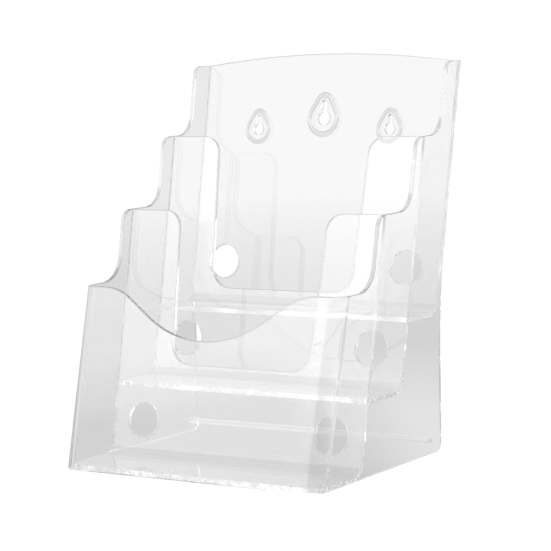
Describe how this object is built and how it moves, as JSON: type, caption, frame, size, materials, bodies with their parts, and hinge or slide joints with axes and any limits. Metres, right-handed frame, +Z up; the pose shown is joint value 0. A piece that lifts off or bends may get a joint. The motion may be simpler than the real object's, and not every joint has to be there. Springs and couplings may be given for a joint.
{
  "type": "brochure rack",
  "caption": "Clear plastic countertop brochure rack with stepped side walls, a scooped front, U-cut tier fronts and a tall arched back with keyholes.",
  "frame": {"origin": "middle of the footprint's bounding box, on the table", "axes": "+Z up, the front of the rack faces -Y, +X to the right as seen from the front"},
  "size_m": [0.165, 0.155, 0.2138],
  "materials": {
    "clear_plastic": "polished"
  },
  "bodies": {
    "root": {"left_side_panel": "clear_plastic", "right_side_panel": "clear_plastic", "front_panel": "clear_plastic", "lower_tier_panel": "clear_plastic", "middle_tier_panel": "clear_plastic", "back_panel": "clear_plastic", "rear_tie_bar": "clear_plastic"}
  },
  "joints": []
}
